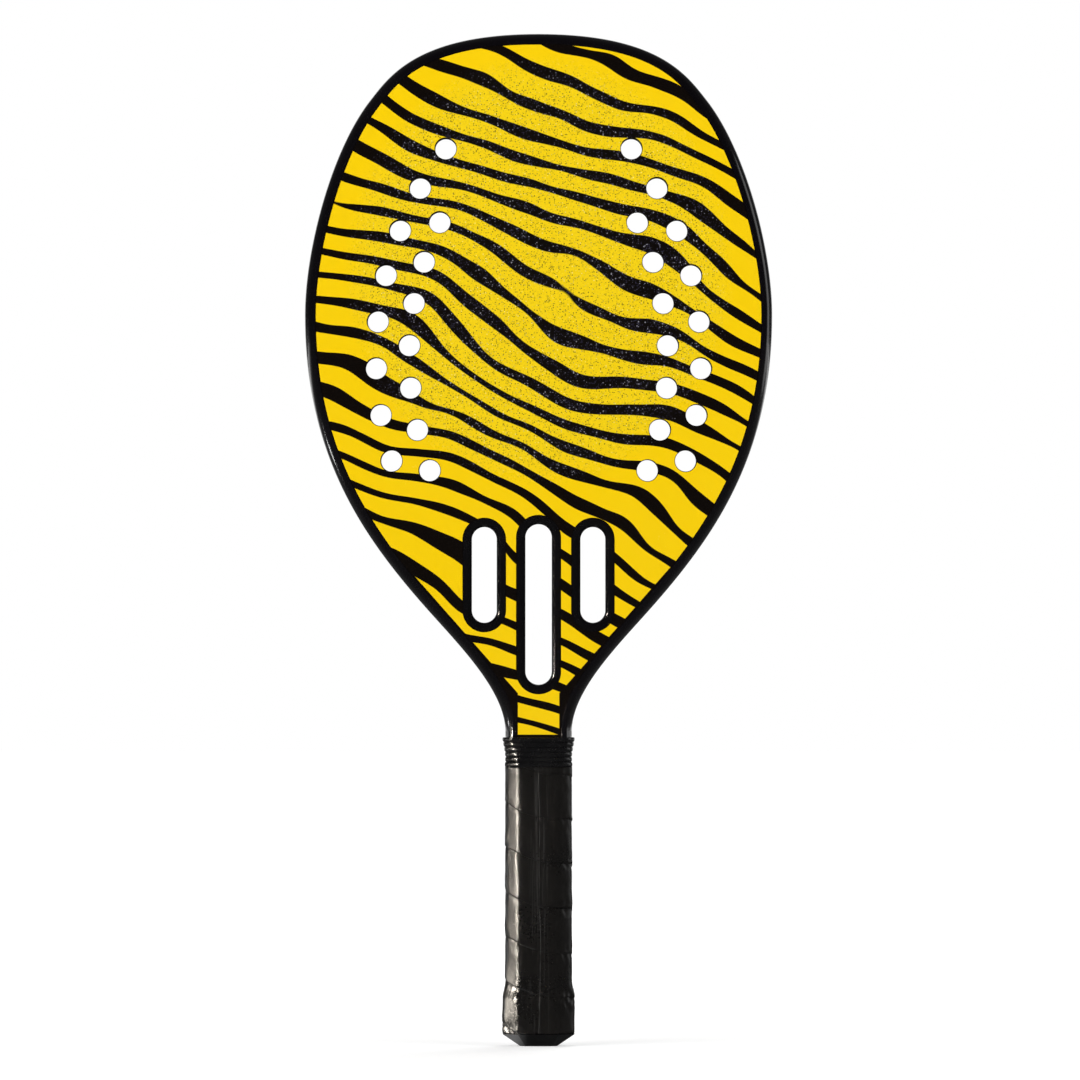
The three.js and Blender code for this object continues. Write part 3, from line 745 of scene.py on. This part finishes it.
for side, middle in (("front", -SHEET_MIDDLE), ("back", SHEET_MIDDLE)):
    mesh = plate("print_" + side, SHEET_INSET, SHEET_FOOT, SHEET_THICKNESS, middle, SHEET_ROUND)
    evenly_shaded(add_piece("print_" + side, mesh, printed, "face_sheet_" + side))

# %% Core
CORE_INSET, CORE_FOOT, CORE_ROUND, CORE_CLEARANCE = 0.0092, 0.144, 0.00001, 0.00004

core_thickness = 2 * (FACE - SHEET_THICKNESS) - CORE_CLEARANCE
mesh = plate("core", CORE_INSET, CORE_FOOT, core_thickness, 0, CORE_ROUND)
evenly_shaded(add_piece("core", mesh, foam, "foam_core"))

# %% [markdown]
# ## Frame tube
# The tube runs from one foot inside the handle, up round the head and down to the other. Its outer side is
# half an ellipse, its inner side is flat, and a step at each face takes the sheets. The section is drawn
# once and swept along the outline. Two more curves at the neck bend the legs into the handle.

# %% Frame tube: its section
TUBE_WIDTH, TUBE_NOSE, STEP_DEPTH = 0.009, 0.005, FACE - SHEET_THICKNESS
STEP_LIP, STEP_CLEARANCE = 0.00012, 0.00003
NOSE_STEPS = 32


def tube_section():
    """The tube's closed section as (inwards, depth) points."""
    angles = [math.radians(90 + 180 * i / NOSE_STEPS) for i in range(NOSE_STEPS + 1)]
    nose = [(TUBE_NOSE + TUBE_NOSE * math.cos(a), FACE * math.sin(a)) for a in angles]
    step = SHEET_INSET - STEP_CLEARANCE
    back_step = [(step - STEP_LIP, -FACE), (step, -FACE + STEP_LIP), (step, -STEP_DEPTH)]
    back_step.append((TUBE_WIDTH, -STEP_DEPTH))
    front_step = [(a, -b) for a, b in reversed(back_step)]
    return nose + back_step + front_step


def swept(name, line, section, closed):
    """A section swept along a line of (across, up) points; the section's first axis points inwards."""
    profile = flat_curve(name + "_section", [[(-a, b) for a, b in section]])
    profile.data.dimensions = "3D"
    path = flat_curve(name, [line], closed)
    path.data.bevel_mode = "OBJECT"
    path.data.bevel_object = profile
    path.data.use_fill_caps = not closed
    mesh = made_mesh(path, name, UPRIGHT)
    bpy.data.objects.remove(profile)
    return cleaned(mesh)


print("tube section of", len(tube_section()), "points")

# %% Frame tube: its way round
LEG_HALF, BEND_TOP, BEND_FOOT, LEG_FOOT = 0.0125, 0.153, 0.133, 0.009
NECK_EASE = (0.0008, 0.0018)

leg_top = Vector((NECK.x, 0, BEND_TOP))
leg_turned = Vector((LEG_HALF, 0, BEND_FOOT))
third = (BEND_TOP - BEND_FOOT) / 3
neck_straight = [NECK, NECK + down * NECK_EASE[0], NECK + down * NECK_EASE[1], leg_top]
into_handle = [leg_top, leg_top + down * third, leg_turned - down * third, leg_turned]
tube_line = whole_line(0.0, LEG_FOOT, (neck_straight, into_handle))
mesh = swept("frame_lacquered", pairs(tube_line), tube_section(), closed=False)
evenly_shaded(add_piece("frame_lacquered", mesh, lacquer, "frame_tube"))

# %% [markdown]
# ## Slot rims
# Each slot is lined by a closed rim with large round edges at both faces. It is swept round the slot's line
# in the same way as the tube.

# %% Slot rims
RIM_ROUND, RIM_STEPS = 0.0026, 10


def rim_section():
    """The rim's closed section: distance outwards from the slot's edge, and depth."""
    quarter = [math.radians(90 * i / RIM_STEPS) for i in range(RIM_STEPS + 1)]
    flat = FACE - RIM_ROUND
    front_turn = [(RIM_ROUND * (1 - math.sin(a)), -flat - RIM_ROUND * math.cos(a)) for a in quarter]
    back_turn = [(a, -b) for a, b in reversed(front_turn)]
    return [(RIM_WIDTH, -FACE), *front_turn, *back_turn, (RIM_WIDTH, FACE)]


for node in RIM_NODES:
    name = node.replace("slot_rim", "rim")
    mesh = swept(name, slot_line(node, 0.0), rim_section(), closed=True)
    evenly_shaded(add_piece(name, mesh, rim_black, node))

# %% [markdown]
# ## Handle octagon
# The handle is an eight-sided bar under its wrapping. Eight flat sides with soft corners are one formula:
# each side says how far away it is in a direction, and a high power lets the nearest side win, with a
# smooth change at the corners. Collar and grip both use it, so they meet.

# %% The handle's octagon
FACETS = ((0, 0.0147), (45, 0.01524), (90, 0.0127), (135, 0.01524),
          (180, 0.0147), (225, 0.01524), (270, 0.0127), (315, 0.01524))
CORNER_POWER = 22
WRAP = 0.0018


def eased(share):
    """A share from 0 to 1 that starts and ends gently."""
    share = min(max(share, 0.0), 1.0)
    return share * share * (3 - 2 * share)


def octagon_reach(angle, offset):
    """Distance from the handle's axis to a rounded octagon, in the direction angle."""
    total = 0.0
    for facet, distance in FACETS:
        lean = math.cos(angle - math.radians(facet)) / (distance + offset)
        if lean > 0:
            total += lean**CORNER_POWER
    return total ** (-1 / CORNER_POWER)


print("wrapped handle", round(2 * octagon_reach(0, WRAP) * 1000, 1), "mm wide")

# %% [markdown]
# ## Collar
# The collar is a ribbed rubber ring, octagonal at its foot and rounded where it grips the neck. A grid is
# bent into it: one direction goes round the handle, the other runs up the ribs outside and down the bore
# inside. Each rib is half an ellipse, so narrow grooves stay between them, as on a stretched rubber ring.

# %% Collar: its form
RIB_COUNT, RIB_DEPTH = 6, 0.0006
COLLAR_LIP, COLLAR_TOP_WALL, COLLAR_BORE = 0.0022, 0.0015, 0.0003
COLLAR_AROUND, COLLAR_OUTSIDE, COLLAR_INSIDE = 192, 96, 8
collar_low, collar_high = (corner.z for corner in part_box("rubber_collar"))


def neck_reach(angle, offset, height):
    """Distance from the axis to the neck: two half-elliptic legs with a flat between them."""
    bent = eased((BEND_TOP - height) / (BEND_TOP - BEND_FOOT))
    straight = NECK.x - (NECK.x - LEG_HALF) * bent - TUBE_NOSE
    wide, deep = TUBE_NOSE + offset, FACE + offset
    c, s = abs(math.cos(angle)), abs(math.sin(angle))
    if c * deep <= straight * s:
        return deep / s
    total = (c / wide) ** 2 + (s / deep) ** 2
    half = c * straight / wide**2
    return (half + math.sqrt(half**2 - total * ((straight / wide) ** 2 - 1))) / total


def collar_place(turn, way):
    """A point of the collar: turn goes round, way goes up the outside and back down the bore."""
    outside = COLLAR_OUTSIDE / (COLLAR_OUTSIDE + COLLAR_INSIDE)
    if way <= outside:
        rise = way / outside
        across_rib = 2 * (rise * RIB_COUNT % 1.0) - 1
        groove = RIB_DEPTH * (1 - math.sqrt(max(0.0, 1 - across_rib**2)))
        foot, top = COLLAR_LIP - groove, COLLAR_TOP_WALL - groove
    else:
        rise = 1 - (way - outside) / (1 - outside)
        foot = top = COLLAR_BORE
    angle, height = 2 * math.pi * turn, collar_low + rise * (collar_high - collar_low)
    reach = octagon_reach(angle, foot) * (1 - rise) + neck_reach(angle, top, height) * rise
    return Vector((math.cos(angle) * reach, math.sin(angle) * reach, height))


print("collar from", round(collar_low, 4), "to", round(collar_high, 4))

# %% Collar: the bent grid
RIB_SMOOTH_UP_TO = math.radians(50)


def bent_grid(name, around, along, place):
    """A mesh from a grid whose points are moved by place(share round, share along)."""
    bm = bmesh.new()
    bmesh.ops.create_grid(bm, x_segments=around, y_segments=along, size=0.5)
    for v in bm.verts:
        v.co = place(v.co.x + 0.5, v.co.y + 0.5)
    mesh = bpy.data.meshes.new(name)
    bm.to_mesh(mesh)
    bm.free()
    return mesh


mesh = bent_grid("collar_ribbed", COLLAR_AROUND, COLLAR_OUTSIDE + COLLAR_INSIDE, collar_place)
collar = add_piece("collar_ribbed", cleaned(mesh, RIB_SMOOTH_UP_TO), rubber, "rubber_collar")
print(collar.name, len(mesh.polygons), "faces")

# %% [markdown]
# ## Grip
# The grip is one long band of soft synthetic leather, wound round the octagon from the butt to the collar
# with its edges just meeting. The bent grid makes it again: its length becomes the way round, its width the
# way up. Towards the butt the band climbs a little flare, which keeps the hand from slipping off.

# %% Grip: the flare at the butt
FLARE_RISE, FLARE_TOP, FLARE_FULL = 0.00125, 0.030, 0.022


def grown(height):
    """How far the wrapped handle's surface stands out from the octagon."""
    return WRAP + FLARE_RISE * eased((FLARE_TOP - height) / (FLARE_TOP - FLARE_FULL))


print("butt", round(2 * octagon_reach(0, grown(0.01)) * 1000, 1), "mm wide")

# %% [markdown]
# Leather under tension is never even. Each turn's upper edge is thinned and tucked under the next one,
# whose lower edge shows as a low lip over a fine groove. The leather puckers beside the seam, most of all
# at the flare, and bulges a little over the octagon's corners just above each seam. All this is a distance
# from the octagon: bell curves place the forms, and noise on the wrap, read in millimetres, makes them
# uneven.

# %% Grip: how far the leather stands off
LIP, LIP_REACH, GROOVE_REACH = 0.00014, 0.0016, 0.0003
TUCK, TUCK_REACH = 0.00042, 0.0030
PULL, PULL_SCALES = 0.00014, (0.12, 0.12, 0.16)
PUCKER, PUCKER_ABOVE, PUCKER_BELOW, FLARE_PUCKER = 0.00042, 0.0035, 0.0060, 1.3
BULGE, BULGE_RISE, BULGE_REACH, BULGE_SHARE = 0.00048, 0.0048, 0.0032, 0.26
BULGE_MEAN, BULGE_SCALES = 0.45, (0.11, 0.11, 0.07)


def fade(distance, reach):
    """A bell curve: 1 at no distance, almost nothing at twice the reach."""
    return math.exp(-((distance / reach) ** 2))


def waves(seat, scales, start=0):
    """Smooth noise about 0 at a place of the wrap; scales are swells to the millimetre."""
    return noise.noise(Vector((seat.x * scales[0], seat.y * scales[1] + start, seat.z * scales[2])))


def stand_off(seat, angle, height, from_low, from_high):
    """How far the band's outside lies from the octagon; from_low and from_high are the ways to its edges."""
    lip = fade(from_low, LIP_REACH) - 3 * fade(from_low, GROOVE_REACH)
    tucked = fade(from_high, TUCK_REACH)
    pucker = noise.noise(Vector((seat.x * 0.42 + 9, seat.y * 0.42, seat.z * 0.30 + seat.x * 0.2)))
    pucker *= 0.2 + fade(from_low, PUCKER_ABOVE) + fade(from_high, PUCKER_BELOW)
    pucker *= 1 + FLARE_PUCKER * (grown(height) - WRAP) / FLARE_RISE
    bulge = fade((angle / (math.pi / 4)) % 1.0 - 0.5, BULGE_SHARE)
    bulge *= max(0.0, BULGE_MEAN + waves(seat, BULGE_SCALES, start=5))
    bulge *= fade(from_low - BULGE_RISE, BULGE_REACH)
    pull = waves(seat, PULL_SCALES)
    return grown(height) + LIP * lip - TUCK * tucked + PULL * pull + PUCKER * pucker + BULGE * bulge


print("leather stands off by up to", BULGE * 1000, "mm more")

# %% [markdown]
# The band is wound by hand, so its seams wander a little. They are steeper over two opposite bevels of the
# octagon and flatter over the other two. A point of the band takes its angle from the way along, and its
# height from the way across.

# %% Grip: how the band lies
BAND_PITCH, BAND_TURNS, BAND_LAP = 0.022, 7.2, 0.0006
FIRST_EDGE, FIRST_ANGLE = 0.1396, math.radians(-135)
SWAY, BIAS, WRAP_RADIUS_MM = 0.0009, 0.0018, 22


def tape_place(way, rise):
    """Where a point of the band lies: way runs along the band from its top end, rise goes up across it."""
    turn = way * BAND_TURNS
    angle = FIRST_ANGLE + 2 * math.pi * turn
    width = BAND_PITCH + BAND_LAP
    from_low = (0.5 - 0.5 * math.cos(math.pi * rise)) * width
    height = FIRST_EDGE - BAND_PITCH * turn + from_low
    c, s = math.cos(angle), math.sin(angle)
    seat = Vector((c * WRAP_RADIUS_MM, s * WRAP_RADIUS_MM, height * 1000))
    sway = SWAY * noise.noise(Vector((c * 1.9, s * 1.9, turn * 1.3)))
    sway -= BIAS * math.sin(2 * (angle - FIRST_ANGLE))
    reach = octagon_reach(angle, stand_off(seat, angle, height, from_low, width - from_low))
    return Vector((c * reach, s * reach, height + sway))


print("band", round(BAND_PITCH * 1000, 1), "mm wide in", BAND_TURNS, "turns")

# %% [markdown]
# The band's ends are trimmed level, as a maker does with a knife: bisect_plane cuts the mesh at the collar
# and at the butt. A Solidify modifier gives the leather its thickness, inwards, and one level of
# subdivision rounds it.

# %% Grip: the band
STEPS_ROUND, STEPS_ACROSS = 88, 18
TAPE_FOOT, TAPE_TOP = 0.0063, collar_low - 0.0001
TAPE_THICKNESS, TAPE_DOUBLES = 0.0009, 5e-6

tape_mesh = bent_grid("grip_wound", round(BAND_TURNS * STEPS_ROUND), STEPS_ACROSS, tape_place)
bm = bmesh.new()
bm.from_mesh(tape_mesh)
for height, side in ((TAPE_TOP, 1), (TAPE_FOOT, -1)):
    bmesh.ops.bisect_plane(bm, geom=[*bm.verts, *bm.edges, *bm.faces], dist=1e-7, plane_co=(0, 0, height),
                           plane_no=(0, 0, side), clear_outer=True)
bmesh.ops.remove_doubles(bm, verts=bm.verts, dist=TAPE_DOUBLES)
for face in bm.faces:
    face.smooth = True
bm.to_mesh(tape_mesh)
bm.free()

tape = add_piece("grip_wound", tape_mesh, leather, "grip_tape")
thick = tape.modifiers.new("thickness", "SOLIDIFY")
thick.thickness, thick.offset = TAPE_THICKNESS, -1.0
rounding = tape.modifiers.new("rounding", "SUBSURF")
rounding.levels = rounding.render_levels = 1
print(tape.name, len(tape_mesh.polygons), "faces")

# %% [markdown]
# ## Butt cap and what the grip hides
# The cap's bevelled end shows under the last turn of the grip. Its copy gets a small round on every edge,
# as all mouldings have. The shells and the staples lie under the grip, and keep their CAD form with a
# finish.

# %% Butt cap
CAP_ROUND, CAP_ROUND_STEPS = 0.0004, 3
FLAT_UP_TO, SHARP_FROM = math.radians(2), math.radians(20)

cap_mesh = frame["nodes"]["butt_cap"].data.copy()
cap_mesh.name = "butt_cap_rounded"
bm = bmesh.new()
bm.from_mesh(cap_mesh)
bmesh.ops.remove_doubles(bm, verts=bm.verts, dist=DOUBLES)
bmesh.ops.dissolve_limit(bm, angle_limit=FLAT_UP_TO, verts=bm.verts, edges=bm.edges)
sharp = [e for e in bm.edges if len(e.link_faces) == 2 and e.calc_face_angle() > SHARP_FROM]
bmesh.ops.bevel(bm, geom=sharp, offset=CAP_ROUND, segments=CAP_ROUND_STEPS, profile=0.5, affect="EDGES",
                clamp_overlap=True, material=-1)
bm.to_mesh(cap_mesh)
bm.free()
evenly_shaded(add_piece("butt_cap_rounded", cleaned(cap_mesh), cap_black, "butt_cap"))

# %% Hidden CAD nodes
HIDDEN = (("handle_pallet_front", shell_grey), ("handle_pallet_back", shell_grey),
          ("butt_staple_right", wire), ("butt_staple_left", wire))

for node, material in HIDDEN:
    data = frame["nodes"][node].data
    data.materials.clear()
    data.materials.append(material)
    print(node, "in", material.name)

# %% [markdown]
# ## Floor and background
# The photograph's background is plain white and lies behind the racket. The room in front of it was dark,
# since the black parts mirror nothing. Light Path tells the rays apart, so floor and world can be white to
# the camera, white to gloss surfaces that mirror what lies behind the racket, and dim to all other mirrored
# rays. Only close beside the butt, at the left, do mirrored rays find the floor white too, and the cap's
# left bevel shows it. The matt colours get a plain grey light from all around. The floor is lit as any
# other thing, so it keeps a soft shadow.

# %% Floor: what each ray finds
WHITE, FLOOR_MIRRORED = 1.0, 0.06
CHALK_DARK, CHALK_LIGHT = (0.60, 0.60, 0.60, 1), (0.64, 0.64, 0.64, 1)


def rays(tree):
    """Light Path's sockets, and 1 for a ray from the camera or through something clear."""
    paths = put(tree, "ShaderNodeLightPath").outputs
    return paths, calc(tree, "MAXIMUM", paths["Is Camera Ray"], paths["Is Transmission Ray"])


floor_white = bpy.data.materials.new("floor white")
floor_white.use_nodes = True
tree = floor_white.node_tree
tree.nodes.remove(tree.nodes["Principled BSDF"])
paths, seen = rays(tree)
place = on_object(tree)
away = put(tree, "ShaderNodeVectorMath", {0: place}, operation="LENGTH").outputs["Value"]
chalk = blend(tree, noisy(tree, place, 6.0, detail=3.0), CHALK_DARK, CHALK_LIGHT, "RGBA")
matt = put(tree, "ShaderNodeBsdfDiffuse", {"Color": chalk})
lift = ramp(tree, away, 0.1, 2.6, 0.50, 0.90)
glow = put(tree, "ShaderNodeEmission", {"Strength": calc(tree, "MULTIPLY", seen, lift)})
lit = put(tree, "ShaderNodeAddShader", {0: matt.outputs[0], 1: glow.outputs[0]})
parts = split(tree, place)
behind = ramp(tree, parts["Y"], 2.0, 6.0, FLOOR_MIRRORED, WHITE)
at_left = ramp(tree, parts["X"], -0.013, -0.005, 1.0, 0.0)
by_butt = calc(tree, "MULTIPLY", at_left, ramp(tree, away, 0.04, 0.08, WHITE, 0.0))
mirrored = put(tree, "ShaderNodeEmission", {"Strength": calc(tree, "MAXIMUM", behind, by_butt)})
by_ray = {0: paths["Is Glossy Ray"], 1: lit.outputs[0], 2: mirrored.outputs[0]}
shown = put(tree, "ShaderNodeMixShader", by_ray)
tree.links.new(shown.outputs[0], tree.nodes["Material Output"].inputs["Surface"])
print("floor", WHITE, "behind the racket,", FLOOR_MIRRORED, "in other mirrored rays")

# %% Floor: its plane
FLOOR_HALF = 9.0

bm = bmesh.new()
bmesh.ops.create_grid(bm, x_segments=2, y_segments=2, size=FLOOR_HALF)
floor_mesh = bpy.data.meshes.new("floor")
bm.to_mesh(floor_mesh)
bm.free()
floor_mesh.materials.append(floor_white)
floor = bpy.data.objects.new("floor", floor_mesh)
scene_objects.link(floor)
floor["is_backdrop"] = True
print("floor", FLOOR_HALF * 2, "m wide")

# %% World
AMBIENT, WORLD_MIRRORED = 0.24, 0.03
BEHIND_FROM, BEHIND_FULL = 0.93, 0.995

world = bpy.data.worlds.new("studio")
world.use_nodes = True
bpy.context.scene.world = world
tree = world.node_tree
paths, seen = rays(tree)
direction = split(tree, put(tree, "ShaderNodeTexCoord").outputs["Generated"])
mirrored = ramp(tree, direction["Y"], BEHIND_FROM, BEHIND_FULL, WORLD_MIRRORED, WHITE)
level = calc(tree, "MAXIMUM", seen, blend(tree, paths["Is Glossy Ray"], AMBIENT, mirrored))
sky = tree.nodes["Background"]
sky.inputs["Color"].default_value = (1, 1, 1, 1)
tree.links.new(level, sky.inputs["Strength"])
print("world level", AMBIENT, "on the racket,", WHITE, "behind it")

# %% [markdown]
# ## Lamps
# Three large soft boxes light the print evenly, from the front left, the front right and behind. Gloss
# surfaces are told not to mirror them, so the black frame stays black. What gloss shows comes from lamps
# that only gloss surfaces see. Five of them are small and warm, stand at the left and are narrowed to a
# beam. The bevel lamp is for the grip's flat left bevel and the collar's ribs. The corner lamp stands
# further forward and higher, for the bright spots along the bevel's corner. The streak lamp stands about as
# far forward but lower, and aims at the grip's upper half. The seam lamp aims down at its lower half, and
# the foot lamp stands close beside the butt. The edge lamp, from behind, draws the short line on the frame.
# Two weak boxes give the frame's sides their shape from other angles.

# %% Lamp helper
def soft_lamp(name, place, target, size, height, watts, beam=180):
    """A soft box aimed at a point; beam is the angle in degrees into which it shines."""
    data = bpy.data.lights.new(name, "AREA")
    data.shape = "RECTANGLE"
    data.size, data.size_y = size, height
    data.energy = watts
    data.spread = math.radians(beam)
    lamp = bpy.data.objects.new(name, data)
    lamp.location = place
    lamp.rotation_euler = (Vector(target) - Vector(place)).to_track_quat("-Z", "Y").to_euler()
    lamp.visible_camera = False
    scene_objects.link(lamp)
    print(name, watts, "W")
    return lamp


# %% Lamps for the colours
HEAD, BUTT = (0, 0, 0.3), (0, 0, 0.05)

fill_lamps = [
    soft_lamp("fill_left", (-1.6, -1.8, 1.3), HEAD, 1.6, 1.6, 39.0),
    soft_lamp("fill_right", (1.8, -1.7, 1.3), HEAD, 1.6, 1.6, 28.1),
    soft_lamp("fill_back", (0.6, 2.0, 1.5), HEAD, 1.4, 1.4, 34.5),
]
for lamp in fill_lamps:
    lamp.visible_glossy = False

# %% Lamps for the gloss
WARM = (1.0, 0.91, 0.79)

warm_lamps = [
    soft_lamp("bevel_lamp", (-0.8, 0.0, 0.08), BUTT, 0.22, 0.14, 0.0132, beam=20),
    soft_lamp("corner_lamp", (-1.25, -0.42, 0.36), (0, 0, 0.03), 0.34, 0.34, 0.48, beam=10),
    soft_lamp("streak_lamp", (-1.25, -0.46, 0.11), (0, 0, 0.095), 0.20, 0.12, 0.06, beam=6),
    soft_lamp("seam_lamp", (-0.78, -0.06, 0.30), (0, 0, 0.06), 0.24, 0.08, 0.0122, beam=14),
    soft_lamp("foot_lamp", (-0.09, 0.0, 0.018), (0, 0, 0.018), 0.04, 0.03, 0.005, beam=60),
]
plain_lamps = [
    soft_lamp("edge_lamp", (-0.85, 0.45, 0.035), (-0.1, 0, 0.29), 0.10, 0.06, 0.226),
    soft_lamp("sheen_front", (-1.6, -1.8, 1.3), HEAD, 1.6, 1.6, 4.0),
    soft_lamp("sheen_side", (2.2, 0.9, 0.5), HEAD, 1.0, 1.6, 3.6),
]
for lamp in warm_lamps:
    lamp.data.color = WARM
for lamp in warm_lamps + plain_lamps:
    lamp.visible_diffuse = False

# %% Sizes and the end
visual_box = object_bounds()
for label, corners in (("CAD", cad_box), ("visual", visual_box)):
    print(label, [tuple(round(c, 4) for c in corner) for corner in corners])
